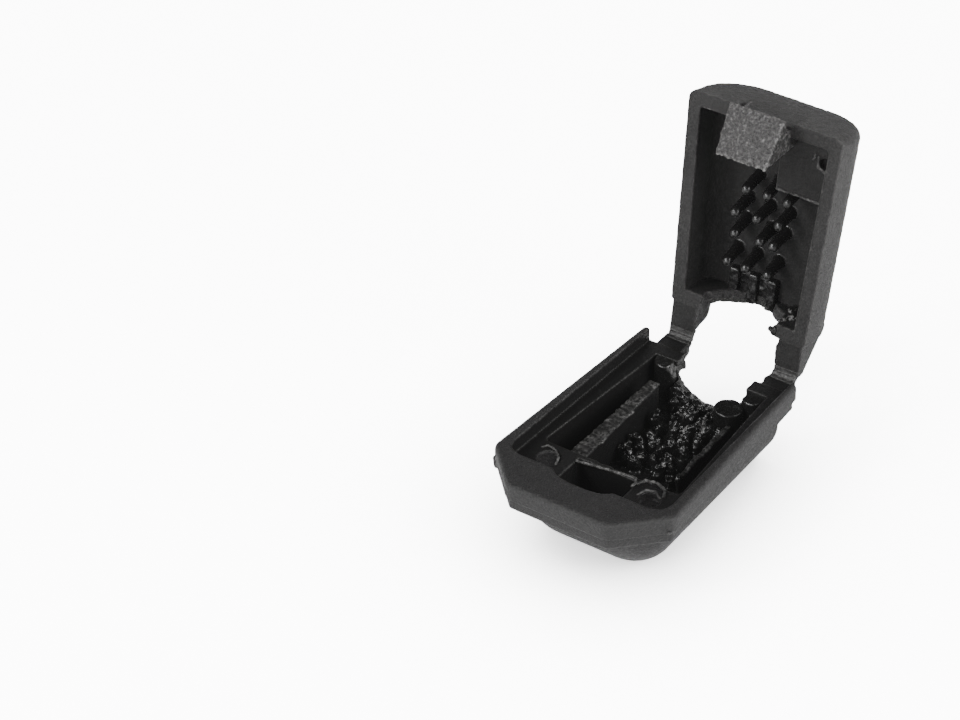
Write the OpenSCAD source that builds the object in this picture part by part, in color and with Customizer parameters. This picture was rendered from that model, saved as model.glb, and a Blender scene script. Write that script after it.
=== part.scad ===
// Snap-shut cord lock for drawstrings: a tray-shaped base and a domed lid moulded in
// one piece with a living hinge on each side of the cord hole.
// The origin is the centre of the cord mouth, on the outer face of the rear wall. +X is
// right, +Y is the way the cord leaves, +Z is up, and the halves meet at z = 0.

/* [Flange] */
// Full width of the flange across the front corners (mm)
flange_w = 12.9; // [11:0.1:16]
// Full width of the flange at its rear ends (mm)
flange_rear_w = 11.2; // [9:0.1:14]
// Distance from the rear wall to the front edge (mm)
flange_l = 17.5; // [14:0.1:24]
// Size of the cut-off front corners (mm)
corner_cut = 2.9; // [1:0.1:4]
// Height of the rim above the mating plane (mm)
rim_h = 1.0; // [0.6:0.05:1.6]
// Depth of the flange below the mating plane (mm)
band_h = 0.95; // [0.5:0.05:1.6]

/* [Base] */
// Full width of the rounded belly (mm)
belly_w = 10.3; // [8:0.1:12]
// Depth of the belly below the mating plane (mm)
belly_h = 5.0; // [3:0.1:7]
// Full width of the recess that takes the lid, at its front (mm)
recess_w = 11.2; // [9:0.1:12]
// Distance from the rear wall to the front of the recess (mm)
recess_l = 14.6; // [12:0.1:18]
// Width of the ledge the lid rests on (mm)
ledge_w = 0.75; // [0.4:0.05:1.2]
// Length of the platform behind the front wall (mm)
platform_l = 3.1; // [2:0.1:5]
// Depth of the hollow in each half (mm)
channel_h = 2.8; // [2:0.1:4]
// Width of the latch pocket (mm)
pocket_w = 4.2; // [3:0.1:6]

/* [Lid] */
// Full width of the lid at its front (mm)
lid_w = 10.9; // [8:0.1:12]
// Full width of the lid at the hinge (mm)
lid_rear_w = 9.5; // [7:0.1:11]
// Distance from the rear wall to the front of the lid (mm)
lid_l = 14.3; // [11:0.1:18]
// Height of the dome above the mating plane (mm)
dome_h = 4.7; // [3:0.1:7]
// Radius of the long shoulders of the dome (mm)
shoulder_r = 3.1; // [1.5:0.1:4]
// Wall thickness of both halves (mm)
wall = 0.9; // [0.6:0.05:1.4]
// Angle the lid is drawn at, measured from closed (degrees)
open_angle = 100; // [0:1:180]

/* [Cord] */
// Diameter of the cord the mouth is made for (mm)
cord_d = 5.2; // [3:0.1:6]
// Clearance between the lid's mouth and the cord, on the radius (mm)
mouth_gap = 0.15; // [0.05:0.05:0.5]

/* [Grip] */
// Distance between rows of gripping pins in the lid (mm)
pin_pitch = 1.7; // [1.2:0.05:2]
// Radius of a lid pin (mm)
pin_r = 0.33; // [0.2:0.01:0.5]
// Rows of spikes in the base
spike_rows = 7; // [4:1:10]
// Distance between rows of spikes (mm)
spike_pitch = 1.15; // [0.9:0.05:2]
// Radius of a spike at its root (mm)
spike_r = 0.42; // [0.25:0.01:0.6]

/* [Hinge] */
// Distance from the rear wall back to the hinge line (mm)
hinge_y = 2.2; // [1.5:0.1:4]
// Distance from the cord axis to the inner side of each hinge strap (mm)
strap_in = 2.9; // [2:0.1:4]
// Thickness of a hinge strap where it meets the film (mm)
strap_t = 0.7; // [0.4:0.05:1.2]
// Radius of the bead the living hinge bends along (mm)
film_r = 0.15; // [0.1:0.01:0.3]

/* [Hidden] */
$fn = 64;
eps = 0.01;
seat_gap = 0.03;                       // lid rim above the ledge when shut
film_clear = 0.05;                     // strap ends to the hinge bead
strap_end = film_r + film_clear;       // strap ends, either side of the hinge line
strap_out = lid_rear_w / 2 - 0.05;     // outer side of the straps
strap_root_h = 2.6;
strap_bite = 0.3;                      // how far a strap's root reaches into its wall
rim_rear = 0.8;                        // rear ends of the side rims
wall_front = -wall;                    // inner face of the rear walls
dome_slack = 0.1;                      // lid rear wall set ahead of the base's
belly_front = -15.2;
belly_rear_w = belly_w - 0.7;
belly_end_r = 2.6;
dome_end_r = 0.6;
cut = 0.6;                             // small plan corner cuts
recess_rear_w = recess_w - 1.0;
tray_front = -(recess_l - platform_l); // rear edge of the front platform
tray_w = recess_w - 2 * ledge_w;
tray_rear_w = tray_w - 1.6;
hollow_r = 0.9;                        // corner between floor and walls of the hollows
pocket_rear = -11.85;
pocket_steps = [[-14.5, -2.9], [-14.85, -1.15]]; // front wall and floor of each step
notch_y = -15.2;                       // front of the notch in the rim
notch_r = 3.45;
rib_in = 2.4;                          // inner side of the channel ribs
rib_t = 0.7;
post_x = 3.15;
post_y = -0.5;
post_r = 0.8;
post_bite = 0.1;                       // how far the strap's root wraps into the post
post_relief = 0.2;                     // posts set back from the cord
post_trim = 0.75;                      // height, below the strap, where the rear wall trims it
mark_x = 3.6;                          // ejector-pin marks
mark_y = -12.9;
mark_r = 0.75;
scoop_w = 3.9;                         // nail scoop in the front of the lid
scoop_h = 3.2;
scoop_y = -13.95;
tongue_w = 3.8;
lid_platform = [2.1, -9.6, 0.9];       // inner side, rear edge and height of the platform
platform_step = [0.9, -12.0];          // inner side behind the tongue, and where it starts
pin_tip = 1.2;                         // centre of a pin's round tip above the mating plane
pin_shift = [0.3, -0.2, -0.1, -0.45];  // sideways shift of each row of pins
cord_r = cord_d / 2;

// ---- shared shapes -------------------------------------------------------

// Solid between two mirrored edges: half width w1 at y1 and w2 at y2, with the two
// corners at y1 cut off by c.
module plan(w1, y1, w2, y2, c) {
    polygon([
        [-w1 + c, y1], [w1 - c, y1], [w1, y1 + c], [w2, y2],
        [-w2, y2], [-w1, y1 + c]
    ]);
}

// Arch section in X (width) and Z (height), flat at z = 0, with round shoulders.
module arch(half, h, r) {
    translate([-half, 0]) square([2 * half, h - r]);
    translate([-half + r, 0]) square([2 * half - 2 * r, h]);
    for (s = [-1, 1]) translate([s * (half - r), h - r]) circle(r);
}

// Barrel that is flat at z = 0 and arched above it: the arch section runs along Y,
// trimmed to a tapered plan, with the front top edge rounded by end_r.
module barrel(w1, y1, w2, y2, h, r, end_r, c) {
    intersection() {
        translate([0, y2, 0]) rotate([90, 0, 0])
            linear_extrude(y2 - y1) arch(w1, h, r);
        linear_extrude(h) plan(w1, y1, w2, y2, c);
        union() {
            translate([-w1, y1, 0]) cube([2 * w1, y2 - y1, h - end_r]);
            translate([-w1, y1 + end_r, 0]) cube([2 * w1, y2 - y1 - end_r, h]);
            translate([-w1, y1 + end_r, h - end_r]) rotate([0, 90, 0])
                cylinder(r = end_r, h = 2 * w1);
        }
    }
}

// Half-round opening for the cord through a rear wall.
module mouth(r) {
    translate([0, wall_front - 0.5, 0]) rotate([-90, 0, 0]) cylinder(r = r, h = hinge_y + 2);
}

// Places the lid's parts, which are drawn shut, at the drawn opening angle.
module as_opened() {
    translate([0, hinge_y, 0]) rotate([-open_angle, 0, 0]) translate([0, -hinge_y, 0])
        children();
}

// ---- base ----------------------------------------------------------------

module flange() {
    front = flange_w / 2;
    rear = flange_rear_w / 2;
    translate([0, 0, -0.15]) linear_extrude(rim_h + 0.15)
        plan(front, -flange_l, rear, rim_rear, corner_cut);
    translate([0, 0, -band_h]) linear_extrude(band_h - 0.15 + eps)
        plan(front - 0.2, -flange_l + 0.2, rear - 0.2, rim_rear, corner_cut - 0.1);
}

module belly() {
    mirror([0, 0, 1])
        barrel(belly_w / 2, belly_front, belly_rear_w / 2, 0, belly_h,
               shoulder_r, belly_end_r, cut);
}

module recess() {
    linear_extrude(rim_h + 1)
        plan(recess_w / 2, -recess_l, recess_rear_w / 2, hinge_y, cut);
}

module tray_cavity() {
    mirror([0, 0, 1])
        translate([0, 0, -eps])
            barrel(tray_w / 2, tray_front, tray_rear_w / 2, wall_front,
                   channel_h + eps, hollow_r, 0.5, 0.3);
}

// Pocket for the latch, stepped forward towards the top of the front wall.
module latch_pocket() {
    for (step = pocket_steps)
        translate([-pocket_w / 2, step[0], step[1]])
            cube([pocket_w, pocket_rear - step[0], -step[1] + eps]);
}

// D-shaped notch in the front of the rim, where a nail reaches the scoop.
module rim_notch() {
    translate([0, 0, -0.35]) linear_extrude(rim_h + 1) intersection() {
        translate([-pocket_w / 2, notch_y]) square([pocket_w, pocket_rear - notch_y]);
        translate([0, -12]) circle(notch_r);
    }
}

module ejector_marks() {
    for (s = [-1, 1]) translate([s * mark_x, mark_y, -0.12]) cylinder(r = mark_r, h = 1);
}

module base_shell() {
    color("#232427") difference() {
        union() {
            flange();
            belly();
        }
        recess();
        tray_cavity();
        latch_pocket();
        rim_notch();
        ejector_marks();
        mouth(cord_r);
    }
}

// Rib along the cord channel, from front to rear, up to the given height.
module channel_rib(side, front, rear, top) {
    x = side > 0 ? rib_in : -rib_in - rib_t;
    color("#2b2c2f") translate([x, front, -channel_h - 0.1])
        cube([rib_t, rear - front, channel_h + 0.1 + top]);
}

// Height of a spike: short and uneven, the same in every build.
function spike_h(row, col) = 1.05 + 0.2 * sin(137 * row + 71 * col);

// Spikes stand in staggered rows on a bed that is fused to the cavity floor.
module base_spike_bed() {
    bed_y = -9.0;
    color("#2b2c2f") {
        translate([-2.1, bed_y, -channel_h - 0.1])
            cube([4.2, spike_rows * spike_pitch, 0.25]);
        for (row = [0 : spike_rows - 1], col = [-1, 0, 1])
            translate([1.25 * col + (row % 2 == 0 ? 0.3 : -0.3),
                       bed_y + spike_pitch * (row + 0.5), -channel_h])
                cylinder(r1 = spike_r, r2 = 0.12, h = spike_h(row, col), $fn = 24);
    }
}

// Round post at each side of the mouth, under the root of the hinge strap.
module base_post(side) {
    color("#27282b") translate([side * post_x, post_y, -channel_h - 0.1])
        difference() {
            cylinder(r = post_r, h = channel_h + 0.1);
            translate([-side * post_x, -post_y, channel_h + 0.1]) mouth(cord_r + post_relief);
            translate([-post_r, -post_y, -eps]) cube([2 * post_r, post_r, post_trim]);
        }
}

// Strap section in Y and Z, thick at its root in the rear wall and thin at the film.
module strap_profile(root) {
    end = hinge_y - strap_end;
    polygon([[root, 0], [end, 0], [end, strap_t], [root, strap_root_h]]);
}

module strap(side, root) {
    x = side > 0 ? strap_in : -strap_out;
    translate([x, 0, 0]) rotate([90, 0, 90])
        linear_extrude(strap_out - strap_in) strap_profile(root);
}

module base_strap(side) {
    color("#27282b") difference() {
        mirror([0, 0, 1]) strap(side, -strap_bite);
        translate([side * post_x, post_y, -channel_h])
            cylinder(r = post_r - post_bite, h = channel_h + 1);
    }
}

// Bead of the living hinge, along the hinge line.
module hinge_film(side) {
    x = side > 0 ? strap_in : -strap_out;
    color("#6e7074") translate([x, hinge_y, 0]) {
        rotate([0, 90, 0]) cylinder(r = film_r, h = strap_out - strap_in);
        translate([0, -strap_end - 0.1, -film_r])
            cube([strap_out - strap_in, strap_end + 0.1, film_r]);
    }
}

// ---- lid, drawn shut -----------------------------------------------------

module lid_cavity() {
    translate([0, 0, -eps])
        barrel(lid_w / 2 - wall, -lid_l + wall, lid_rear_w / 2 - wall + 0.1,
               wall_front - dome_slack, channel_h + eps, hollow_r, 0.4, 0.3);
}

// D-shaped nail scoop that flattens the middle of the dome's front.
module nail_scoop() {
    translate([0, scoop_y, 0]) rotate([90, 0, 0]) linear_extrude(2) {
        translate([-scoop_w / 2, -1]) square([scoop_w, scoop_h]);
        translate([0, scoop_h - 1]) scale([1, 0.55]) circle(scoop_w / 2);
    }
}

// Solid corner beside the tongue; it widens behind the tongue.
module lid_platform_block() {
    for (start = [[lid_platform[0], -lid_l], platform_step])
        translate([start[0], start[1], lid_platform[2]])
            cube([lid_w / 2, lid_platform[1] - start[1], dome_h]);
}

// Hollow in the dome's rear end, deeper towards the top, where the cord leaves.
module rear_hollow() {
    translate([0, 3.9, cord_r]) rotate([18, 0, 0]) translate([0, 0, -6])
        cylinder(r = 4.2, h = 12);
}

module lid_shell() {
    color("#232427") as_opened() translate([0, 0, seat_gap]) difference() {
        barrel(lid_w / 2, -lid_l, lid_rear_w / 2 + 0.1, -dome_slack, dome_h,
               shoulder_r, dome_end_r, cut);
        difference() {
            lid_cavity();
            lid_platform_block();
        }
        nail_scoop();
        rear_hollow();
        mouth(cord_r + mouth_gap);
    }
}

// Round-tipped pins in staggered rows on a bed that is fused to the dome's inside.
module lid_pin_bed() {
    bed_y = -9.35;
    top = channel_h + seat_gap;
    color("#2b2c2f") as_opened() {
        translate([-2.3, bed_y, top - 0.15])
            cube([4.6, len(pin_shift) * pin_pitch, 0.25]);
        for (row = [0 : len(pin_shift) - 1], col = [-1, 0, 1])
            translate([1.45 * col + pin_shift[row],
                       bed_y + pin_pitch * (row + 0.5), pin_tip]) {
                cylinder(r = pin_r, h = top - pin_tip, $fn = 24);
                sphere(r = pin_r, $fn = 24);
            }
    }
}

// Low ribs along the channel between the pins and the mouth.
module lid_mouth_ribs() {
    top = channel_h + seat_gap;
    color("#2b2c2f") as_opened() {
        translate([-2.17, -2.4, top - 0.1]) cube([3.37, 0.8, 0.2]);
        for (x = [-2.17, -0.81, 0.55])
            translate([x, -2.4, top - 0.5]) cube([0.65, 1.45, 0.6]);
    }
}

// Wedge that slides down into the pocket; its lip points forward.
module latch_tongue() {
    color("#303134") as_opened() translate([-tongue_w / 2, 0, seat_gap])
        rotate([90, 0, 90]) linear_extrude(tongue_w)
            polygon([
                [-lid_l + wall + 0.1, 1.6], [-lid_l + 0.45, 0.6], [-lid_l + 0.45, -0.6],
                [-lid_l - 0.45, -1.0], [-lid_l + 2.15, -2.7], [-lid_l + 1.6, 1.6]
            ]);
}

module lid_strap(side) {
    color("#27282b") as_opened() translate([0, 0, seat_gap])
        strap(side, -dome_slack - strap_bite);
}

// ---- one line per node ---------------------------------------------------

base_shell();
channel_rib(-1, tray_front - 0.1, -2.6, -0.3);  // base_rib_left
channel_rib(1, -8.7, -2.6, -1.4);  // base_rib_right
base_spike_bed();
base_post(-1);  // base_post_left
base_post(1);  // base_post_right
base_strap(-1);  // base_strap_left
base_strap(1);  // base_strap_right
hinge_film(-1);  // hinge_film_left
hinge_film(1);  // hinge_film_right
lid_shell();
lid_pin_bed();
lid_mouth_ribs();
latch_tongue();
lid_strap(-1);  // lid_strap_left
lid_strap(1);  // lid_strap_right
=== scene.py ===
"""Looks of the cord lock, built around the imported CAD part.

Each moulded piece is a distance field, worked in millimetres and meshed finely, so that
its edges, torn places and grain are real geometry. Lid pieces are worked shut, in the
lid's own place, and are then turned to the angle the part is drawn at.
"""

import itertools
import math

import bpy
import numpy as np
from mathutils import Matrix, Vector


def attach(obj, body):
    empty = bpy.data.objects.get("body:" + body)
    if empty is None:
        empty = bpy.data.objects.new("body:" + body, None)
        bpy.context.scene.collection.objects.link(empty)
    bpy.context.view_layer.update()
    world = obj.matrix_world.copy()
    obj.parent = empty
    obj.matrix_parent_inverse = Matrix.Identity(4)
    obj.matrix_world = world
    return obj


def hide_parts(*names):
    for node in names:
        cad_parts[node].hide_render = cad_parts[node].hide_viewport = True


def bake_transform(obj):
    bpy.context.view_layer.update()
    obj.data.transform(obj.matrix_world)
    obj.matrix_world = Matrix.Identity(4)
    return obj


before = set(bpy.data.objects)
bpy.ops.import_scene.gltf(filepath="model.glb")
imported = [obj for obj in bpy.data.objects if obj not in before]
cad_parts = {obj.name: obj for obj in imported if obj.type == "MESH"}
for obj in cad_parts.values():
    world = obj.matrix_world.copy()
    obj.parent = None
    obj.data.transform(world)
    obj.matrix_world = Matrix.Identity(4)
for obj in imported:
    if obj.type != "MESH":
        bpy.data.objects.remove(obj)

MM = 0.001
STEP = 0.085          # sampling of the two shells
FINE = 0.06           # sampling of the small pieces
FINEST = 0.045        # sampling of the tongue and of the flash threads
LATTICE = 61          # period of the random fields, in lumps
SPECK = 150           # a loose bit with fewer vertices than this is dropped

# Dimensions in millimetres, as in the part's design. A pair of halves is the half
# width at the front and at the rear.
HINGE_Y = 2.2
OPEN_ANGLE = 100
SEAT_GAP = 0.03
WALL = 0.9
RIM_H, BAND_H, BAND_INSET = 1.0, 0.95, 0.2
PARTING_Z = -0.14
FLANGE_FRONT, FLANGE_REAR = -17.5, 0.8
FLANGE_HALF = (6.45, 5.6)
CORNER_CUT = 2.9
BELLY_FRONT, BELLY_H, BELLY_HALF = -15.2, 5.0, (5.15, 4.8)
RECESS_FRONT, RECESS_HALF = -14.6, (5.6, 5.1)
TRAY_FRONT, TRAY_HALF = -11.5, (4.85, 4.05)
CHANNEL_H, HOLLOW_R = 2.8, 0.9
CHANNEL_ROOT = CHANNEL_H + 0.1          # grips start this deep, inside the wall
POCKET_HALF, POCKET_REAR = 2.12, -11.85
POCKET_STEPS = ((-14.7, -3.05), (-15.05, -1.25))   # front and floor of each
NOTCH_Y, NOTCH_R, NOTCH_FRONT, NOTCH_FLOOR = -12.0, 3.4, -15.2, -0.35
POST_X, POST_Y, POST_R, NICHE_HALF = 3.2, -0.42, 0.75, 0.85
LID_FRONT, LID_REAR, LID_HALF = -14.3, -0.1, (5.45, 4.85)
DOME_H, SHOULDER = 4.7, 3.1
SCOOP_HALF, SCOOP_TOP, SCOOP_Y = 1.95, 3.2, -14.04
PLATFORM_X, PLATFORM_REAR, PLATFORM_Z = 0.9, -9.4, 0.9
MOUTH_R, LID_MOUTH_R, MOUTH_FRONT = 2.6, 2.75, -2.0
STRAP_IN, STRAP_OUT = 2.9, 4.7
MARK_X, MARK_Y, MARK_R = 3.6, -12.9, 0.75
TONGUE_LEFT, TONGUE_RIGHT = -2.02, 1.88


# ---- distance fields -------------------------------------------------------

def meet(a, b, r=0.0):
    """What two solids share; the edge between them is rounded to radius r."""
    if r <= 0:
        return np.maximum(a, b)
    return np.minimum(np.maximum(a, b), -r) + np.hypot(np.maximum(a + r, 0), np.maximum(b + r, 0))


def join(a, b, r=0.0):
    """Both solids together, with a fillet of radius r where they touch."""
    return -meet(-a, -b, r)


def carve(a, b, r=0.0):
    """Solid a with solid b taken away."""
    return meet(a, -b, r)


def convex(u, v, corners, r=0.0):
    """Endless prism on a convex polygon in the plane of u and v, corners anticlockwise."""
    solid = None
    for (u0, v0), (u1, v1) in zip(corners, corners[1:] + corners[:1]):
        side = ((u - u0) * (v1 - v0) - (v - v0) * (u1 - u0)) / math.hypot(u1 - u0, v1 - v0)
        solid = side if solid is None else meet(solid, side, r)
    return solid


def plan(p, half, front, rear, cut, r=0.0):
    """Upright prism with tapering sides, its two front corners cut off."""
    wide, slim = half
    return convex(p[0], p[1], [
        (-wide + cut, front), (wide - cut, front), (wide, front + cut),
        (slim, rear), (-slim, rear), (-wide, front + cut),
    ], r)


def barrel(p, half, front, rear, height, shoulder, end_r, lean=0.0, crown=0.0):
    """Arched body that stands on z = 0 and runs along Y; its front face leans back."""
    x, y, z = p
    share = (y - front) / (rear - front)
    side = np.abs(x) - half[0] - (half[1] - half[0]) * share
    top = z - height + crown * (x / half[0]) ** 2
    face = (front - y + lean * z) / math.hypot(1, lean)
    return meet(meet(meet(side, top, shoulder), face, end_r), y - rear, 0.08)


def stud(p, x, y, root, tip, r_root, r_tip, lean=(0, 0)):
    """Tapered rod along Z from root to tip, with a rounded tip."""
    way = 1 if tip > root else -1
    rise = p[2] - root
    share = np.clip(rise / (tip - root), 0, 1)
    across = np.hypot(p[0] - x - lean[0] * rise, p[1] - y - lean[1] * rise)
    rod = meet(across - r_root - (r_tip - r_root) * share, way * (p[2] - tip), 0.95 * r_tip)
    return meet(rod, -way * rise)


def ball(p, centre, r):
    """Ball of radius r."""
    return np.sqrt(sum((axis - c) ** 2 for axis, c in zip(p, centre))) - r


def wire(p, points, r):
    """Thread of radius r along a line of points."""
    nearest = None
    for a, b in zip(points, points[1:]):
        way = np.array(b) - np.array(a)
        share = sum((axis - c) * w for axis, c, w in zip(p, a, way)) / (way @ way)
        share = np.clip(share, 0, 1)
        gap = np.sqrt(sum((axis - c - share * w) ** 2 for axis, c, w in zip(p, a, way)))
        nearest = gap if nearest is None else np.minimum(nearest, gap)
    return nearest - r


def noise(p, lump, seed):
    """Smooth random field from -1 to 1 whose lumps are about that many millimetres wide.

    Each seed gives a field of its own.
    """
    lattice = np.random.default_rng(seed).uniform(-1, 1, (LATTICE,) * 3).astype(np.float32)
    cells, parts = [], []
    for axis in p:
        low = np.floor(axis / lump)
        share = axis / lump - low
        cells.append(low.astype(np.int32))
        parts.append(share * share * (3 - 2 * share))
    total = 0
    for corner in itertools.product((0, 1), repeat=3):
        weight = 1
        for part, bit in zip(parts, corner):
            weight = weight * (part if bit else 1 - part)
        place = tuple((c + bit) % LATTICE for c, bit in zip(cells, corner))
        total = total + weight * lattice[place]
    return total


def lumps(p, lump, seed):
    """Noise with a finer octave on top."""
    return noise(p, lump, seed) + 0.5 * noise(p, lump * 0.47, seed + 1)


def near(d, reach):
    """1 on a surface, fading to 0 at the given distance from it."""
    return np.clip(1 - np.abs(d) / reach, 0, 1)


def within(value, low, high, soft):
    """1 between two bounds, fading to 0 over a soft margin inside them."""
    return np.clip(np.minimum(value - low, high - value) / soft, 0, 1)


def shut(p):
    """Points of the drawn, open part, turned back to the lid's shut place."""
    return turned(p, OPEN_ANGLE)


def turned(p, degrees):
    """Points turned about the hinge line."""
    a = math.radians(degrees)
    y, z = p[1] - HINGE_Y, p[2]
    return p[0], y * math.cos(a) - z * math.sin(a) + HINGE_Y, y * math.sin(a) + z * math.cos(a)


# ---- meshes ----------------------------------------------------------------

def net_corners(values, cells):
    """Mean place, within each cell, of the points where its edges cross the surface."""
    corners = list(itertools.product((0, 1), repeat=3))
    at = np.stack([values[tuple((cells + c).T)] for c in corners], axis=1)
    total = np.zeros((len(cells), 3))
    hits = np.zeros(len(cells))
    for (i, a), (j, b) in itertools.combinations(enumerate(corners), 2):
        if sum(abs(m - n) for m, n in zip(a, b)) != 1:
            continue
        crossed = (at[:, i] < 0) != (at[:, j] < 0)
        gap = np.where(crossed, at[:, i] - at[:, j], 1)
        share = at[:, i] / gap
        point = np.array(a) + share[:, None] * (np.array(b) - np.array(a))
        total += np.where(crossed[:, None], point, 0)
        hits += crossed
    return total / hits[:, None]


def net_faces(inside, index):
    """One four-sided face around every sample edge that passes through the surface."""
    quads = []
    for axis in range(3):
        u, v = (axis + 1) % 3, (axis + 2) % 3
        low = np.take(inside, range(inside.shape[axis] - 1), axis)
        high = np.take(inside, range(1, inside.shape[axis]), axis)
        edges = np.argwhere(low != high)
        ring = []
        for du, dv in ((-1, -1), (0, -1), (0, 0), (-1, 0)):
            cell = edges.copy()
            cell[:, u] += du
            cell[:, v] += dv
            ring.append(index[tuple(cell.T)])
        ring = np.stack(ring, axis=1)
        backward = ~low[tuple(edges.T)]
        ring[backward] = ring[backward, ::-1]
        quads.append(ring)
    return np.concatenate(quads)


def surface_net(values, origin, step):
    """Vertices and quads of the surface where the sampled field is zero."""
    inside = values < 0
    n = [s - 1 for s in values.shape]
    count = np.zeros(n, np.int8)
    for i, j, k in itertools.product((0, 1), repeat=3):
        count += inside[i:n[0] + i, j:n[1] + j, k:n[2] + k]
    cells = np.argwhere((count > 0) & (count < 8))
    index = np.full(n, -1, np.int32)
    index[tuple(cells.T)] = np.arange(len(cells))
    vertices = np.array(origin) + step * (cells + net_corners(values, cells))
    return vertices, net_faces(inside, index)


def without_specks(points, quads):
    """The mesh without the specks that float free of it, fewer than SPECK vertices each."""
    label = np.arange(len(points))
    settled = False
    while not settled:
        lowest = label[quads].min(axis=1)
        spread = label.copy()
        for corner in quads.T:
            np.minimum.at(spread, corner, lowest)
        spread = spread[spread]
        settled = np.array_equal(spread, label)
        label = spread
    kept = np.bincount(label, minlength=len(points))[label] >= SPECK
    index = np.cumsum(kept) - 1
    return points[kept], index[quads[kept[quads[:, 0]]]]


def vertex_normals(obj):
    """The direction that the surface faces at each vertex."""
    normals = np.zeros(len(obj.data.vertices) * 3, np.float32)
    obj.data.vertex_normals.foreach_get("vector", normals)
    return normals.reshape(-1, 3)


def sculpt(name, solid, low, high, material, step=FINE, grain=None, marks=None, lid=False):
    """Meshes a distance field inside a box, roughens it and marks its worn places and its polished
    places with painted shade.

    grain and marks take points; grain gives how far each moves along its normal, and
    marks gives named shares from 0 to 1 that the materials read.
    """
    origin = [a - 2.37 * step for a in low]
    counts = [int((b - a) / step) + 6 for a, b in zip(low, high)]
    axes = [np.arange(c, dtype=np.float32) * step + o for c, o in zip(counts, origin)]
    grid = np.meshgrid(*axes, indexing="ij", sparse=True)
    values = np.ascontiguousarray(np.broadcast_to(solid(grid), counts), np.float32)
    points, quads = without_specks(*surface_net(values, origin, step))
    mesh = bpy.data.meshes.new(name)
    mesh.from_pydata(points.tolist(), [], quads.tolist())
    mesh.shade_smooth()
    obj = bpy.data.objects.new(name, mesh)
    bpy.context.scene.collection.objects.link(obj)
    off = np.clip(solid(points.T), -step / 2, step / 2)
    points = points - vertex_normals(obj) * off[:, None]
    if grain:
        points = points + vertex_normals(obj) * grain(points.T)[:, None]
    for key, share in (marks(points.T) if marks else {}).items():
        layer = mesh.attributes.new(key, "FLOAT", "POINT")
        layer.data.foreach_set("value", np.clip(share, 0, 1).astype(np.float32))
    if lid:
        points = np.stack(turned(points.T, -OPEN_ANGLE), axis=1)
    mesh.vertices.foreach_set("co", (points * MM).astype(np.float32).ravel())
    mesh.update()
    mesh.materials.append(material)
    return obj


def fit(piece, body, slot, *nodes):
    """Rides a piece on its body, in place of CAD nodes if any; the slot argument is not used."""
    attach(piece, body)
    if nodes:
        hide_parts(*nodes)


# ---- materials -------------------------------------------------------------

class Nodes:
    """Short forms for building a node tree."""

    def __init__(self, material):
        material.use_nodes = True
        self.tree = material.node_tree
        self.shader = self.tree.nodes["Principled BSDF"]

    def add(self, kind, **inputs):
        node = self.tree.nodes.new(kind)
        for key, value in inputs.items():
            self.put(value, node.inputs[key.replace("_", " ")])
        return node

    def put(self, value, socket):
        if isinstance(value, bpy.types.NodeSocket):
            self.tree.links.new(value, socket)
        else:
            socket.default_value = value

    def millimetres(self):
        place = self.add("ShaderNodeTexCoord")
        scale = self.add("ShaderNodeVectorMath", Vector=place.outputs["Object"])
        scale.operation = "SCALE"
        scale.inputs["Scale"].default_value = 1 / MM
        return scale.outputs["Vector"]

    def noise(self, place, scale, detail=2.0):
        node = self.add("ShaderNodeTexNoise", Vector=place, Scale=scale, Detail=detail)
        return node.outputs["Fac"]

    def ramp(self, value, low, high, out_low=0.0, out_high=1.0):
        node = self.add("ShaderNodeMapRange", Value=value)
        for key, number in (("From Min", low), ("From Max", high),
                            ("To Min", out_low), ("To Max", out_high)):
            self.put(number, node.inputs[key])
        return node.outputs["Result"]

    def math(self, operation, a, b):
        node = self.tree.nodes.new("ShaderNodeMath")
        node.operation = operation
        self.put(a, node.inputs[0])
        self.put(b, node.inputs[1])
        return node.outputs[0]

    def mix(self, share, a, b):
        node = self.tree.nodes.new("ShaderNodeMix")
        node.data_type = "RGBA"
        self.put(share, node.inputs[0])
        self.put(a, node.inputs[6])
        self.put(b, node.inputs[7])
        return node.outputs[2]

    def mark(self, name):
        node = self.tree.nodes.new("ShaderNodeAttribute")
        node.attribute_name = name
        return node.outputs["Fac"]


def grey(level):
    """Slightly warm neutral of the given brightness."""
    return (level * 1.02, level, level * 0.985, 1)


POLISHED_AND_SHADED_TONE = 0.0035   # brightness of the plastic where the mould was polished, darkened further as painted shade in the hollows and on the straps
VEIL_GLOW = 0.006             # faint glow painted on all the plastic, lifting its deepest shadows as lens haze would


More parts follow.
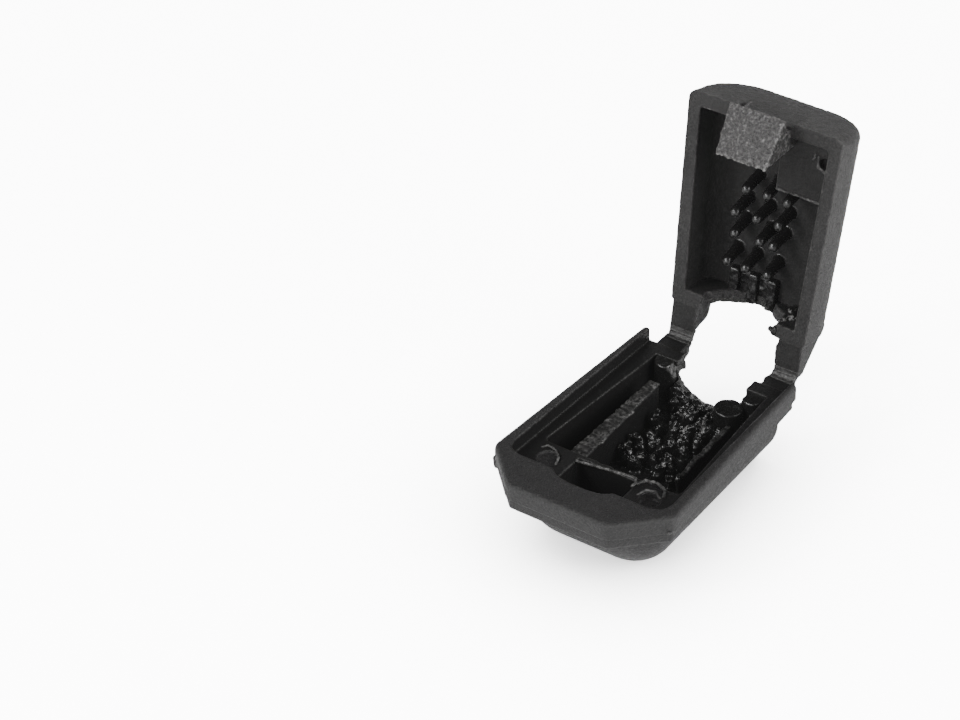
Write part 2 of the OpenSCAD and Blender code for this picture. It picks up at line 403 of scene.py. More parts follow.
def plastic(name, tone, roughness, grain, grain_scale=7.0, pale=0.02, fleck=0.55):
    """Black moulded plastic.

    tone is its brightness, fleck the share of its paler flecks, and grain the height in
    mm of its spark-eroded texture. The polishing mark on a mesh turns it to polished
    plastic, darkened as painted shade in the hollows, on the straps and in the rear
    hollow; the torn mark turns it to whitened plastic.
    """
    material = bpy.data.materials.new(name)
    n = Nodes(material)
    place = n.millimetres()
    polish_and_shade, torn = n.mark("polish_and_shade"), n.mark("torn")
    cloud = n.noise(place, 0.45, 3.0)
    speck = n.noise(place, grain_scale, 3.0)
    scratch = n.noise(place, 28.0, 2.0)
    pointiness = n.add("ShaderNodeNewGeometry").outputs["Pointiness"]
    edge = n.ramp(pointiness, 0.515, 0.58)
    edge = n.math("MULTIPLY", edge, n.ramp(n.noise(place, 2.2, 3.0), 0.35, 0.65))
    colour = n.mix(n.ramp(cloud, 0.3, 0.7), grey(tone * 0.8), grey(tone * 1.25))
    colour = n.mix(n.ramp(speck, 0.48, 0.72, 0.0, fleck), colour, grey(tone * 2.4))
    # Polished places are darkened: partly the deeper black of polished plastic, partly painted
    # shade in the hollows, on the straps and in the rear hollow.
    colour = n.mix(n.math("MULTIPLY", polish_and_shade, 0.8), colour, grey(POLISHED_AND_SHADED_TONE))
    colour = n.mix(n.math("MULTIPLY", edge, 0.6), colour, grey(tone * 3.2))
    white = n.math("MULTIPLY", torn, n.ramp(n.noise(place, 5.0, 4.0), 0.38, 0.62))
    colour = n.mix(white, colour, grey(pale))
    n.put(colour, n.shader.inputs["Base Color"])
    # A weaker sheen on polished places also stands in for the shade in the hollows.
    n.put(n.ramp(polish_and_shade, 0.0, 1.0, 0.3, 0.17), n.shader.inputs["Specular IOR Level"])
    # Painted glow: the plastic gives off a faint light of its own that lifts its deepest shadows.
    n.put((1, 1, 1, 1), n.shader.inputs["Emission Color"])
    n.put(VEIL_GLOW, n.shader.inputs["Emission Strength"])
    rough = n.ramp(speck, 0.3, 0.7, roughness - 0.06, roughness + 0.08)
    rough = n.math("SUBTRACT", rough, n.math("MULTIPLY", polish_and_shade, roughness - 0.34))
    rough = n.math("ADD", rough, n.math("MULTIPLY", edge, 0.08))
    n.put(rough, n.shader.inputs["Roughness"])
    depth = n.ramp(polish_and_shade, 0.0, 1.0, grain * MM, grain * MM * 0.15)
    bump = n.add("ShaderNodeBump", Height=speck, Distance=depth)
    fine = n.add("ShaderNodeBump", Height=scratch, Normal=bump.outputs["Normal"],
                 Distance=0.25 * grain * MM)
    n.put(fine.outputs["Normal"], n.shader.inputs["Normal"])
    return material


MOULDED = plastic("moulded_black", tone=0.0045, roughness=0.48, grain=0.08)
PEBBLED = plastic("pebbled_black", tone=0.025, roughness=0.5, grain=0.24, fleck=0.8)
SPARKED = plastic("sparked_black", tone=0.041, roughness=0.6, grain=0.38, grain_scale=6.0,
                  pale=0.26, fleck=0.9)
GLOSSY = plastic("glossy_grip", tone=0.003, roughness=0.22, grain=0.015, pale=0.11)
TORN = plastic("torn_black", tone=0.006, roughness=0.45, grain=0.08, pale=0.09)
CREASED = plastic("creased_film", tone=0.005, roughness=0.48, grain=0.04, pale=0.04)


# ---- base ------------------------------------------------------------------

def notch(p):
    """D-shaped notch in the front of the rim, seen from above."""
    arc = np.hypot(p[0], p[1] - NOTCH_Y) - NOTCH_R
    sides = meet(np.abs(p[0]) - POCKET_HALF, NOTCH_FRONT - p[1])
    return meet(sides, meet(arc, p[1] + 13.5), 0.15)


def recess(p):
    """Space for the lid inside the rim, with the notch for its nail scoop."""
    walls = plan(p, RECESS_HALF, RECESS_FRONT, HINGE_Y + 1, 0.6, 0.35)
    return meet(join(walls, notch(p), 0.12), -p[2], 0.08)


def tray(p):
    """Channel hollow of the base, with a niche round each post beside the mouth."""
    below = (p[0], p[1], -p[2])
    across = np.abs(np.abs(p[0]) - POST_X) - NICHE_HALF
    niche = meet(meet(across, p[1] + 0.25, 0.1), -1.7 - p[2], 0.1)
    niche = meet(niche, -1.5 - p[1])
    return join(niche, barrel(below, TRAY_HALF, TRAY_FRONT, -WALL, CHANNEL_H, HOLLOW_R, 0.4))


def pocket(p):
    """Pocket for the latch, stepped forward towards the top of the front wall."""
    x, y, z = p
    space = meet(notch(p), NOTCH_FLOOR - z, 0.06)
    for front, floor in POCKET_STEPS:
        box = meet(meet(np.abs(x) - POCKET_HALF, front - y, 0.15), floor - z, 0.1)
        space = np.minimum(space, meet(meet(box, y - POCKET_REAR, 0.1), z - 0.5))
    return space


def ejector_marks(p):
    """Two round marks in the front platform; the right one is smaller and deeper."""
    left = meet(np.hypot(p[0] + MARK_X, p[1] - MARK_Y) - MARK_R, -0.14 - p[2])
    right = meet(np.hypot(p[0] - MARK_X, p[1] - MARK_Y) - MARK_R * 0.92, -0.5 - p[2])
    return np.minimum(left, right)


def torn_mouth(p, r, seed):
    """Opening for the cord through the rear wall, its edge ragged."""
    bore = np.hypot(p[0], p[2]) - r - 0.14 * lumps(p, 0.55, seed) + 0.06
    return meet(bore, MOUTH_FRONT - p[1])


def base_mouth(p):
    """The base's half of the cord hole."""
    return torn_mouth(p, MOUTH_R, 11)


def lid_mouth(p):
    """The lid's half of the cord hole."""
    return torn_mouth(p, LID_MOUTH_R, 12)


def base_outside(p):
    """Flange, the band below its parting line and the belly."""
    outline = plan(p, FLANGE_HALF, FLANGE_FRONT, FLANGE_REAR, CORNER_CUT, 0.3)
    rim = meet(meet(outline, p[2] - RIM_H, 0.32), PARTING_Z - p[2], 0.06)
    band = meet(meet(outline + BAND_INSET, -BAND_H - p[2], 0.16), p[2])
    below = (p[0], p[1], -p[2])
    belly = barrel(below, BELLY_HALF, BELLY_FRONT, 0, BELLY_H, SHOULDER, 2.4, lean=0.1)
    return join(join(rim, band), meet(belly, p[2]), 0.1)


def base_strap(p):
    """Both hinge straps of the base, flat on top, from the rear wall to the hinge film."""
    side = convex(p[1], p[2], [
        (-0.6, -0.03), (-0.6, -2.8), (2.0, -0.7), (2.1, -0.2), (2.1, -0.03)], 0.03)
    return meet(side, strap_reach(p, 95), 0.06)


def strap_reach(p, seed):
    """Width of the hinge straps; their cord side is torn."""
    torn = 0.1 * lumps(p, 0.5, seed)
    return meet(STRAP_IN + torn - np.abs(p[0]), np.abs(p[0]) - STRAP_OUT)


def base_body(p):
    """The whole tray, its hollows taken away."""
    solid = carve(join(base_outside(p), base_strap(p), 0.1), recess(p), 0.1)
    solid = carve(solid, tray(p), 0.06)
    solid = carve(solid, pocket(p), 0.05)
    solid = carve(solid, ejector_marks(p), 0.03)
    return carve(solid, base_mouth(p), 0.04)


def base_grain(p):
    """Fine spark texture outside; rough burrs at the mouth and at the pocket's rear wall."""
    outer = np.clip(np.minimum(recess(p), tray(p)) / 0.3, 0, 1)
    rough = near(base_mouth(p), 0.35) * np.clip((-0.08 - p[2]) / 0.1, 0, 1)
    ridge = within(p[1], -11.95, -11.4, 0.08) * within(p[0], -2.3, 4.5, 0.2) * (p[2] > -0.2)
    return (0.008 * outer * noise(p, 0.2, 21) + 0.05 * rough * lumps(p, 0.3, 22)
            + 0.05 * ridge * lumps(p, 0.22, 23))


def base_marks(p):
    """Polished and darkened as painted shade inside and on the straps; torn at the mouth and worn
    along the edges.
    """
    hollow = np.minimum(tray(p), pocket(p))
    inner = np.minimum(recess(p), hollow)
    worn = near(hollow, 0.08) * (p[2] > -0.1) + near(recess(p), 0.08) * (p[2] > RIM_H - 0.15)
    return {
        # polished, and darkened with painted shade, in the hollows and on the straps
        "polish_and_shade": 1 - np.clip(inner / 0.12, 0, 1) + (base_strap(p) < 0.05),
        "torn": near(base_mouth(p), 0.15) + worn * (noise(p, 0.9, 24) > -0.4),
    }


def build_base():
    """Tray with both of its hinge straps."""
    body = sculpt("tray_shell", base_body, (-6.5, -17.5, -5.0), (6.5, 2.15, 1.05),
                  MOULDED, STEP, base_grain, base_marks)
    fit(body, "base", "moulded_black", "base_shell", "base_strap_left", "base_strap_right")


def build_rib(name, node, places, width, top, wobble=0.0):
    """Channel rib, its top striated across and whitened by wear.

    places are the rib's front and rear middle points, width its width at each.
    """
    (x0, front), (x1, rear) = places

    def share(p):
        return np.clip((p[1] - front) / (rear - front), 0, 1)

    def solid(p):
        x, y, z = p
        middle = x0 + (x1 - x0) * share(p) + wobble * noise(p, 1.3, 35)
        half = (width[0] + (width[1] - width[0]) * share(p)) / 2
        bar = meet(np.abs(x - middle) - half, z - top - 0.6 * wobble * noise(p, 0.4, 36), 0.08)
        bar = meet(bar, np.abs(y - (front + rear) / 2) - (rear - front) / 2, 0.1)
        return meet(bar, -CHANNEL_ROOT - z)

    def grain(p):
        on_top = near(p[2] - top, 0.25)
        streaks = noise((p[0] * 0.4, p[1], p[2]), 0.16, 31)
        return on_top * (0.06 * streaks + 0.03 * noise(p, 0.3, 32)) + 0.01 * noise(p, 0.3, 33)

    def marks(p):
        streaks = 0.35 + 0.6 * noise((p[0] * 0.3, p[1], p[2]), 0.18, 34)
        return {"polish_and_shade": np.ones_like(p[0]), "torn": 0.75 * near(p[2] - top, 0.2) * streaks}

    reach = max(width) / 2 + wobble + 0.15
    piece = sculpt(name, solid, (min(x0, x1) - reach, front - 0.15, -CHANNEL_H - 0.15),
                   (max(x0, x1) + reach, rear + 0.15, top + 0.3), TORN, FINE, grain, marks)
    fit(piece, "base", "glossy_grip", node)


SPIKE_COLUMNS = (-1.5, -0.5, 0.5, 1.5)
SPIKE_ROWS, SPIKE_PITCH, FIRST_SPIKE = 9, 0.9, -8.3


def spike_places():
    """Where the spikes stand: staggered rows, each spike shifted a little at random."""
    random = np.random.default_rng(7)
    for row, column in itertools.product(range(SPIKE_ROWS), SPIKE_COLUMNS):
        x = 0.25 + 1.05 * column + (0.25 if row % 2 == 0 else -0.25) + random.uniform(-0.3, 0.3)
        y = FIRST_SPIKE + SPIKE_PITCH * row + random.uniform(-0.2, 0.2)
        tip = -1.55 + 0.2 * math.sin(2.39 * row + 2.1 * column) + random.uniform(-0.25, 0.2)
        yield x, y, tip, random.uniform(0.16, 0.38), random.uniform(-0.3, 0.3, 2)


def build_spikes():
    """Short spikes with torn tops, melted into the bed they stand on."""
    spikes = list(spike_places())
    root = -CHANNEL_ROOT

    def solid(p):
        x, y, z = p
        bed = meet(meet(np.abs(x) - 2.3, z - root - 0.3, 0.1), np.abs(y + 4.9) - 4.0)
        bx, by = x + 0.2 * noise(p, 0.6, 41), y + 0.2 * noise(p, 0.6, 42)
        torn_top = 0.35 * noise(p, 0.24, 45)
        for sx, sy, tip, r, lean in spikes:
            share = np.clip((z - root) / (tip - root), 0, 1)
            across = np.hypot(bx - sx - lean[0] * (z - root), by - sy - lean[1] * (z - root))
            spike = meet(across - 0.5 + (0.5 - r) * share, z - tip - torn_top, 0.05)
            bed = join(bed, spike, 0.12)
        return meet(bed - 0.07 * lumps(p, 0.3, 43), root - z)

    def marks(p):
        tips = np.clip((p[2] + 2.0) / 0.3, 0, 1)
        return {"torn": tips * (lumps(p, 0.34, 44) > 0.55)}

    piece = sculpt("spike_bed", solid, (-2.7, -9.2, -3.0), (2.9, -0.2, -0.8),
                   GLOSSY, 0.055, marks=marks)
    fit(piece, "base", "glossy_grip", "base_spike_bed")


def build_flash(name, body, threads, lid=False):
    """Threads and flakes of torn flash: a list of radius and the points it runs through."""
    def solid(p):
        rough = 0.025 * noise(p, 0.17, 58)
        return np.minimum.reduce([wire(p, points, r) for r, points in threads]) - rough

    every = np.array([point for r, points in threads for point in points])
    reach = max(r for r, points in threads) + 0.1
    piece = sculpt(name, solid, every.min(axis=0) - reach, every.max(axis=0) + reach, TORN, FINEST,
                   marks=lambda p: {"torn": 0.4 + 0.8 * noise(p, 0.3, 59)}, lid=lid)
    fit(piece, body, "moulded_black")


def build_burrs(name, body, places, lid=False):
    """Glossy torn lumps at the edge of the cord hole: a list of centre and radius."""
    def solid(p):
        blobs = None
        for centre, r in places:
            blob = ball(p, centre, r)
            blobs = blob if blobs is None else join(blobs, blob, 0.15)
        return blobs - 0.12 * lumps(p, 0.4, 55) - 0.04 * noise(p, 0.16, 57)

    centres = np.array([c for c, r in places])
    reach = max(r for c, r in places) + 0.25
    piece = sculpt(name, solid, centres.min(axis=0) - reach, centres.max(axis=0) + reach, GLOSSY,
                   FINE, marks=lambda p: {"torn": noise(p, 0.35, 56) > 0.5}, lid=lid)
    fit(piece, body, "glossy_grip")


def build_post(name, nodes, x, y, r, top, bite=0.12):
    """Round post beside the mouth; the cord hole, enlarged by bite, cuts into its side."""
    def solid(p):
        post = meet(np.hypot(p[0] - x, p[1] - y) - r, p[2] - top, 0.15)
        post = meet(post, -CHANNEL_ROOT - p[2])
        post = carve(post, meet(-p[1], p[2] + 2.15))
        return carve(post - 0.025 * lumps(p, 0.4, 51), torn_mouth(p, MOUTH_R + bite, 52), 0.08)

    def marks(p):
        return {"torn": 0.3 * near(torn_mouth(p, MOUTH_R + bite, 52), 0.1)}

    piece = sculpt(name, solid, (x - 1, y - 1, -3.0), (x + 1, y + 1, top + 0.1),
                   GLOSSY, FINE, marks=marks)
    fit(piece, "base", "glossy_grip", *nodes)


# ---- lid, worked shut ------------------------------------------------------

def dome(p):
    """Outside of the lid, its flat face a seat gap above the tray's."""
    lifted = (p[0], p[1], p[2] - SEAT_GAP)
    solid = barrel(lifted, LID_HALF, LID_FRONT, LID_REAR, DOME_H, SHOULDER, 0.6,
                   lean=0.1, crown=0.12)
    return meet(solid, -lifted[2], 0.05)


def dome_cavity(p):
    """Hollow of the lid, less the platform in its front right corner."""
    half = (LID_HALF[0] - WALL, LID_HALF[1] - WALL)
    space = barrel(p, half, LID_FRONT + WALL, -WALL - 0.1, CHANNEL_H, HOLLOW_R, 0.3, lean=0.1)
    platform = meet(meet(PLATFORM_X - p[0], p[1] - PLATFORM_REAR, 0.08), PLATFORM_Z - p[2], 0.05)
    mark = meet(np.hypot(p[0] - 4.0, p[1] + 12.0) - 0.4, p[2] - 1.3)
    platform = carve(platform, mark, 0.05)
    return carve(space, platform, 0.04)


def scoop(p):
    """Nail scoop: a flat D set into the middle of the front face."""
    x, y, z = p
    arc = np.hypot(x, (z - SCOOP_TOP + 1) / 0.55) - SCOOP_HALF
    shape = np.minimum(arc * 0.6, meet(np.abs(x) - SCOOP_HALF, z - SCOOP_TOP + 1))
    return meet(shape, y - SCOOP_Y, 0.03)


def rear_hollow(p):
    """Hollow across the dome's rear end, deeper towards the top."""
    return np.hypot(p[0], p[1] - 3.9 + 0.33 * (p[2] - 2.6)) - 4.2


def lid_strap(p):
    """Both hinge straps of the lid."""
    side = convex(p[1], p[2], [
        (-0.7, 0.05), (2.1, 0.05), (2.1, 0.2), (2.0, 0.7), (-0.7, 2.8)], 0.03)
    return meet(side, strap_reach(p, 96), 0.06)


def lid_body(p):
    """The whole lid, its hollows taken away."""
    solid = meet(join(dome(p), lid_strap(p), 0.1), SEAT_GAP - p[2], 0.03)
    solid = carve(solid, dome_cavity(p), 0.06)
    solid = carve(solid, scoop(p), 0.06)
    solid = carve(solid, rear_hollow(p), 0.15)
    return carve(solid, lid_mouth(p), 0.05)


def front_pebbles(p):
    """Share of the coarse texture: low on the front face, either side of the scoop."""
    x, y, z = p
    beside = np.clip((np.abs(x) - SCOOP_HALF) / 0.1, 0, 1)
    return beside * np.clip((-13.55 - y) / 0.25, 0, 1) * np.clip((3.9 - z) / 0.8, 0, 1)


def lid_grain(p):
    """Spark texture outside and rough burrs at the mouth."""
    outer = np.clip(dome_cavity(p) / 0.3, 0, 1) * np.clip((p[2] - 0.1) / 0.2, 0, 1)
    rough = near(lid_mouth(p), 0.35) * np.clip((p[2] - 0.12) / 0.1, 0, 1)
    pebbles = front_pebbles(p)
    return (0.018 * outer * noise(p, 0.2, 61) + 0.01 * outer * pebbles * lumps(p, 0.3, 62)
            + 0.05 * rough * lumps(p, 0.3, 63))


def lid_marks(p):
    """Polished and darkened as painted shade inside, at the rear and on the mating face; torn at
    the mouth and the rim.
    """
    inner = np.clip(1 - dome_cavity(p) / 0.12, 0, 1)
    return {
        # polished, and darkened with painted shade, inside, at the straps' rear, in the rear
        # hollow and on the mating face
        "polish_and_shade": inner + (lid_strap(p) < 0.05) * (p[1] > 0) + 0.9 * near(rear_hollow(p), 0.3)
                  + 0.75 * (p[2] < SEAT_GAP + 0.06),
        "torn": near(lid_mouth(p), 0.15)
                + near(dome_cavity(p), 0.08) * (p[2] < 0.15) * (noise(p, 0.9, 64) > -0.1),
    }


def build_lid():
    """Domed lid with both of its hinge straps."""
    body = sculpt("dome_shell", lid_body, (-5.6, -14.4, 0), (5.6, 2.15, 4.8),
                  PEBBLED, STEP, lid_grain, lid_marks, lid=True)
    fit(body, "lid", "moulded_black", "lid_shell", "lid_strap_left", "lid_strap_right")


# Place of each row of pins along Y, and of its pins' tips across.
PIN_ROWS = (
    (-8.5, (-1.15, 0.3, 1.75)),
    (-6.75, (-1.7, -0.2, 1.3)),
    (-5.25, (-1.65, 0.15, 1.1)),
    (-3.25, (-1.9, -0.5, 1.0)),
)
PIN_TIP = 0.85        # height of the tips above the mating plane
PIN_LEAN = -0.28      # how far a pin's root lies to the front, for each mm of height


def build_pins():
    """Round-tipped pins that hang from the roof in staggered rows, leaning to the front."""
    random = np.random.default_rng(3)
    root = CHANNEL_ROOT
    pins = []
    for y, places in PIN_ROWS:
        for x in places:
            tip = PIN_TIP + random.uniform(-0.1, 0.2)
            lean = (random.uniform(-0.08, 0.08), PIN_LEAN + random.uniform(-0.05, 0.05))
            pins.append((x + lean[0] * (root - tip), y + lean[1] * (root - tip), tip, lean))

    def solid(p):
        x, y, z = p
        bed = meet(meet(np.abs(x) - 2.35, CHANNEL_H + 0.02 - z), z - CHANNEL_H - 0.1)
        bed = meet(bed, np.abs(y + 6.2) - 3.6)
        for px, py, tip, (lean_x, lean_y) in pins:
            pin = stud(p, px, py, root, tip, 0.4, 0.33, (lean_x, lean_y))
            bed = join(bed, pin, 0.15)
        return meet(bed, z - root) - 0.012 * noise(p, 0.5, 71)

    piece = sculpt("pin_bed", solid, (-2.7, -10.0, 0.5), (2.7, -2.4, root + 0.1), GLOSSY,
                   FINE, lid=True)
    fit(piece, "lid", "glossy_grip", "lid_pin_bed")


MOUTH_RIBS = (-1.85, -0.5, 0.87)


def build_mouth_ribs():
    """Three short ribs on the roof, running out of the torn edge of the cord hole."""
    def solid(p):
        x, y, z = p
        ribs = meet(meet(np.abs(x + 0.5) - 1.7, np.abs(y + 1.9) - 0.5, 0.08), CHANNEL_H - 0.1 - z)
        for middle in MOUTH_RIBS:
            bar = meet(np.abs(x - middle) - 0.33, np.abs(y + 1.4) - 1.05, 0.12)
            ribs = join(ribs, meet(bar, CHANNEL_H - 0.55 - z, 0.12), 0.1)
        ribs = meet(ribs, z - CHANNEL_H - 0.12) - 0.04 * lumps(p, 0.35, 72)
        return carve(ribs, rear_hollow(p) - 0.25, 0.05)

    def marks(p):
        return {"torn": 0.4 * near(p[1] + 0.3, 0.3)}

    piece = sculpt("mouth_ribs", solid, (-2.4, -2.7, 2.0), (1.5, 0.0, CHANNEL_H + 0.2), GLOSSY,
                   FINE, marks=marks, lid=True)
    fit(piece, "lid", "glossy_grip", "lid_mouth_ribs")


def build_tongue():
    """Latch wedge, coarse from spark erosion; one side of it slants."""
    def solid(p):
        x, y, z = p
        stem = convex(y, z, [(-13.85, -0.9), (-12.2, -2.6), (-12.7, 1.65), (-13.35, 1.65),
                             (-13.85, 0.6)], 0.06)
        lip = convex(y, z, [(-14.85, -0.95), (-12.05, -2.78), (-12.4, -0.6),
                            (-13.85, -0.55)], 0.06)
        wobble = 0.035 * noise(p, 0.5, 81)
        left = TONGUE_LEFT + 0.16 * (y + 14.8)
        width = meet(left - x, x - TONGUE_RIGHT, 0.1) + wobble
        corner = ((y + 12.6) - (x + 1.6)) / math.sqrt(2) - 0.35
        return meet(meet(join(stem, lip), width, 0.06), corner, 0.05)

    def grain(p):
        slope = near((p[1] + 14.75) * 0.67 + p[2] + 0.98, 0.5)
        side = np.abs(p[0]) > 1.75
        streaks = noise((p[0], p[1] * 0.4, p[2] * 1.6), 0.25, 83)
        return 0.06 * slope * lumps(p, 0.13, 82) + np.where(side, 0.05 * streaks, 0)

    def marks(p):
        face = (p[1] + 14.85) * 0.548 + (p[2] + 0.95) * 0.836
        rim = near(p[0] - 1.85, 0.12) * near(face, 0.12) + near(p[2] + 2.85, 0.2)
        side = np.clip((p[0] - 1.75) / 0.1, 0, 1)
        speckle = 0.7 * np.clip(noise(p, 0.13, 84), 0, 1)
        return {"torn": 0.5 * rim + speckle, "polish_and_shade": side}

    piece = sculpt("latch_wedge", solid, (-2.2, -15.0, -2.95), (2.05, -11.8, 1.7), SPARKED,
                   FINEST, grain, marks, lid=True)
    fit(piece, "lid", "sparked_black", "latch_tongue")


# ---- hinge -----------------------------------------------------------------

def build_fold(name, node, side):
    """Thin fold of a hinge strap, whitened where it bends."""
    middle = side * (STRAP_IN + STRAP_OUT) / 2
    half = (STRAP_OUT - STRAP_IN) / 2

    def solid(p):
        q = shut(p)
        base_half = convex(p[1], p[2], [
            (1.7, -0.01), (1.7, -0.5), (2.05, -0.32), (2.25, -0.01)], 0.03)
        lid_half = convex(q[1], q[2], [(1.7, 0.02), (2.25, 0.02), (2.05, 0.32), (1.7, 0.5)], 0.03)
        bead = np.hypot(p[1] - HINGE_Y, p[2]) - 0.16
        body = join(join(base_half, lid_half, 0.1), bead, 0.06)
        width = np.abs(p[0] - middle) - half + 0.08 * (1 + lumps(p, 0.4, 91 + side))
        return meet(body, width, 0.05)

    def grain(p):
        return 0.025 * noise((p[0] * 0.4, p[1], p[2]), 0.16, 93)

    def marks(p):
        return {"torn": 1 - np.hypot(p[1] - HINGE_Y, p[2]) / 0.9}

    low, high = sorted((side * (STRAP_IN - 0.2), side * (STRAP_OUT + 0.05)))
    piece = sculpt(name, solid, (low, 1.6, -0.6), (high, 2.8, 0.6), CREASED, 0.04, grain, marks)
    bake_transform(piece)
    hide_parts(node)


# ---- camera, light and floor -----------------------------------------------

LENS, SENSOR = 135, 36
CAMERA = (92.325, -155.029, 132.498)
CAMERA_AXES = ((0.8195, 0.5729, -0.0100), (-0.3312, 0.4879, 0.8076), (0.4676, -0.6586, 0.5896))
MIDDLE = (0, -7, 0)               # what the lights point at
WINDOW = (0.45, -0.89, 0)         # the side that the surroundings are brighter on
FLOOR_GLOW, SHADOW_REACH = 10.0, 14


def aim(obj, place, right, up, back):
    """Puts an object at a place in mm, turned to the given axes."""
    turn = Matrix((right, up, back)).transposed().to_4x4()
    obj.matrix_world = Matrix.Translation(Vector(place) * MM) @ turn


def build_camera():
    """Long lens that looks at the part from its front right and from above."""
    data = bpy.data.cameras.new("camera")
    data.lens, data.sensor_width = LENS, SENSOR
    data.clip_start, data.clip_end = 0.01, 10
    camera = bpy.data.objects.new("camera", data)
    bpy.context.scene.collection.objects.link(camera)
    aim(camera, CAMERA, *CAMERA_AXES)
    bpy.context.scene.camera = camera


def area_light(name, place, size, power):
    """Rectangular light that points at the part; place and size are in mm."""
    data = bpy.data.lights.new(name, "AREA")
    data.energy = power
    data.shape = "RECTANGLE"
    data.size, data.size_y = size[0] * MM, size[1] * MM
    light = bpy.data.objects.new(name, data)
    bpy.context.scene.collection.objects.link(light)
    light.location = Vector(place) * MM
    way = Vector(MIDDLE) - Vector(place)
    light.rotation_euler = way.to_track_quat("-Z", "Y").to_euler()


def fade(tree, value, low, high, out_low, out_high):
    """Smooth step of a world node's value from one level to another."""
    node = tree.nodes.new("ShaderNodeMapRange")
    node.interpolation_type = "SMOOTHSTEP"
    for key, number in (("From Min", low), ("From Max", high),
                        ("To Min", out_low), ("To Max", out_high)):
        node.inputs[key].default_value = number
    tree.links.new(value, node.inputs["Value"])
    return node.outputs["Result"]


def build_world():
    """White surroundings, brighter near the horizon and on the window's side."""
    world = bpy.data.worlds.new("studio")
    bpy.context.scene.world = world
    world.use_nodes = True
    tree = world.node_tree
    background = tree.nodes["Background"]
    background.inputs["Color"].default_value = (1, 1, 1, 1)
    toward = tree.nodes.new("ShaderNodeTexCoord").outputs["Generated"]
    height = tree.nodes.new("ShaderNodeSeparateXYZ")
    tree.links.new(toward, height.inputs[0])
    front = tree.nodes.new("ShaderNodeVectorMath")
    front.operation = "DOT_PRODUCT"
    tree.links.new(toward, front.inputs[0])
    front.inputs[1].default_value = WINDOW
    strength = tree.nodes.new("ShaderNodeMath")
    strength.operation = "MULTIPLY"
    by_height = fade(tree, height.outputs["Z"], 0.05, 0.65, 2.0, 0.22)
    by_side = fade(tree, front.outputs["Value"], -0.7, 0.6, 0.4, 1.15)
    tree.links.new(by_height, strength.inputs[0])
    tree.links.new(by_side, strength.inputs[1])
    tree.links.new(strength.outputs[0], background.inputs["Strength"])


def build_lights():
    """Key from the right, fill from the front and a small light for the left edges."""
    area_light("key", (260, 20, 160), (180, 180), 1.8)
    area_light("fill", (-60, -260, 120), (200, 120), 0.7)
    area_light("edge", (-117, -154, 165), (70, 70), 0.6)


def build_floor():
    """Plain floor. Seen directly it glows, with a painted shadow where the part hides the sky
    above it.
    """
    bpy.ops.mesh.primitive_grid_add(x_subdivisions=8, y_subdivisions=8, size=3,
                                    location=(0, 0, -BELLY_H * MM))
    floor = bpy.context.object
    floor.name = "floor"
    material = bpy.data.materials.new("floor")
    n = Nodes(material)
    n.put((0.9, 0.9, 0.9, 1), n.shader.inputs["Base Color"])
    n.put(0.6, n.shader.inputs["Roughness"])
    n.put((1, 1, 1, 1), n.shader.inputs["Emission Color"])
    seen = n.add("ShaderNodeLightPath").outputs["Is Camera Ray"]
    # Painted contact shadow: the floor's glow dims where ambient occlusion finds the part close
    # by.
    open_sky = n.add("ShaderNodeAmbientOcclusion", Distance=SHADOW_REACH * MM).outputs["AO"]
    glow_with_shadow = n.ramp(open_sky, 0.3, 0.97, 1.0, FLOOR_GLOW)
    n.put(n.math("MULTIPLY", seen, glow_with_shadow), n.shader.inputs["Emission Strength"])
    floor.data.materials.append(material)


# ---- small torn places: burrs as centre and radius, threads as radius and points ----

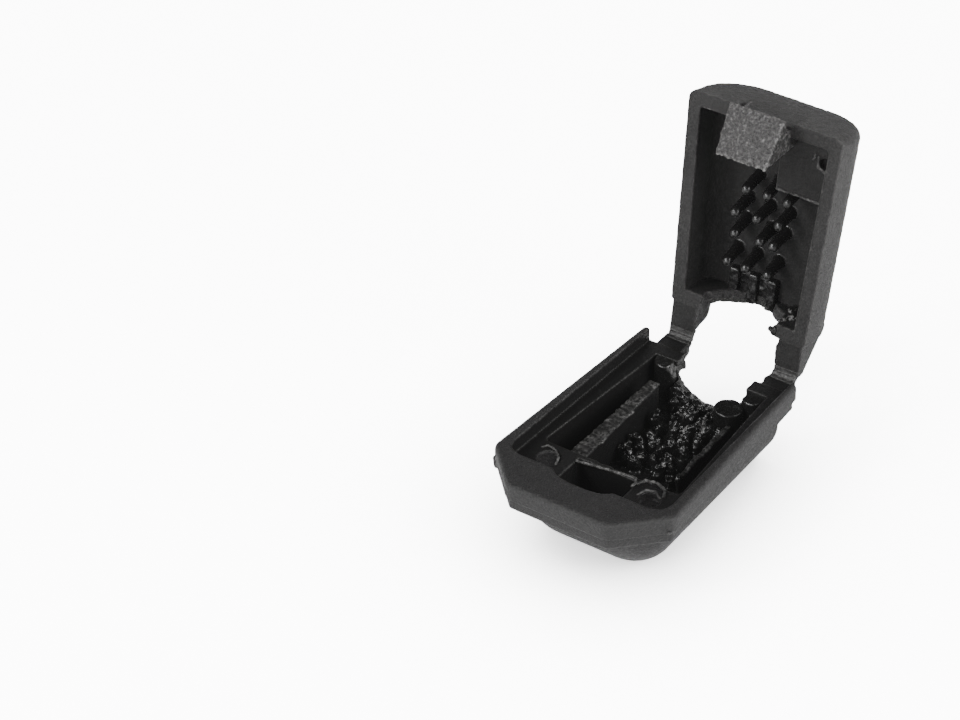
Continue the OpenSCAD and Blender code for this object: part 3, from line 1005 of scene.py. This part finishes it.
# The last burr is at the front end of the right rib, the others round the cord hole.
MOUTH_BURRS = [
    ((2.7, -0.7, -1.3), 0.4), ((1.2, -0.8, -2.2), 0.42), ((0.3, -0.8, -2.4), 0.4),
    ((-0.6, -0.7, -2.4), 0.45), ((-1.4, -0.8, -2.1), 0.42), ((-2.1, -0.9, -1.7), 0.4),
    ((2.8, 0.1, -0.7), 0.3), ((2.9, -8.4, -1.7), 0.28),
]
LID_BURRS = [
    ((2.55, -0.4, 0.35), 0.36), ((2.75, -0.3, 0.6), 0.4), ((2.9, -0.6, 1.0), 0.48),
    ((3.2, -0.9, 1.5), 0.5), ((3.3, -1.1, 2.1), 0.5), ((2.6, -0.9, 2.3), 0.4),
    ((-2.8, -0.6, 1.2), 0.25),
]
TRAY_THREADS = [
    # nubs on the parting line
    (0.17, [(-6.36, -14.55, -0.15), (-6.0, -14.95, -0.3)]),
    (0.1, [(6.2, -14.9, -0.05), (6.28, -14.6, -0.05)]),
    (0.08, [(6.36, -12.4, -0.1), (6.35, -12.2, -0.1)]),
    # along the left rib
    (0.08, [(-2.04, -9.45, -0.35), (-2.17, -8.55, -0.38), (-2.2, -7.7, -0.4),
            (-2.24, -6.5, -0.38), (-2.18, -5.75, -0.4)]),
    # along the pocket's rear wall
    (0.09, [(-2.1, -12.2, 0.0), (-0.9, -12.0, 0.0), (0.3, -11.8, 0.0), (1.8, -11.65, 0.0),
            (2.1, -12.1, 0.05), (2.1, -12.5, 0.1)]),
    # arcs round the ejector marks
    (0.1, [(2.25, -12.1, 0.1), (2.5, -11.6, 0.12), (3.2, -11.4, 0.1), (3.9, -11.7, 0.08),
           (4.15, -12.2, 0.0)]),
    (0.07, [(2.75, -12.9, 0.0), (2.95, -12.3, 0.05), (3.5, -12.1, 0.05), (4.1, -12.5, 0.0)]),
    (0.07, [(-4.7, -13.0, -0.1), (-4.8, -12.4, -0.11), (-4.3, -11.95, 0.05),
            (-3.6, -12.1, 0.08), (-3.1, -12.6, 0.05), (-2.9, -13.2, 0.0)]),
]
LID_THREADS = [
    # at the tongue's front
    (0.085, [(-1.85, -14.1, -0.75), (-1.95, -14.3, -0.1), (-2.3, -14.42, 0.5)]),
    (0.08, [(-1.3, -14.1, -0.6), (-1.5, -14.25, 0.1), (-1.6, -14.3, 0.9)]),
    # round the platform's mark
    (0.09, [(3.55, -12.35, 0.88), (3.6, -11.75, 0.85), (4.1, -11.5, 0.86), (4.45, -11.9, 0.88)]),
    (0.07, [(3.3, -12.5, 0.9), (3.2, -12.1, 0.88)]),
    # along the platform's and the rim's edges
    (0.07, [(1.0, -9.4, 0.9), (2.4, -9.42, 0.88), (4.1, -9.38, 0.9), (4.45, -10.3, 0.92),
            (4.5, -11.2, 0.92)]),
    (0.07, [(-4.35, -13.36, 0.14), (-3.2, -13.4, 0.12), (-2.1, -13.42, 0.13)]),
]


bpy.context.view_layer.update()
build_base()
build_rib("channel_rib_left", "base_rib_left",
          ((-2.55, -11.55), (-2.7, -2.5)), (1.15, 0.7), -0.25)
build_rib("channel_rib_right", "base_rib_right",
          ((2.85, -8.7), (2.8, -2.4)), (0.3, 0.4), -1.45, 0.16)
build_spikes()
build_post("post_left", ["base_post_left"], -POST_X, POST_Y, POST_R, -0.05)
build_post("post_right", ["base_post_right"], POST_X, POST_Y, POST_R, -0.3)
build_post("stop_stud", [], 2.15, -1.65, 0.92, -0.75, bite=-1.4)
build_burrs("mouth_burrs", "base", MOUTH_BURRS)
build_flash("tray_flash", "base", TRAY_THREADS)
build_lid()
build_pins()
build_mouth_ribs()
build_burrs("lid_burrs", "lid", LID_BURRS, lid=True)
build_flash("lid_flash", "lid", LID_THREADS, lid=True)
build_tongue()
build_fold("hinge_fold_left", "hinge_film_left", -1)
build_fold("hinge_fold_right", "hinge_film_right", 1)
build_camera()
build_world()
build_lights()
build_floor()
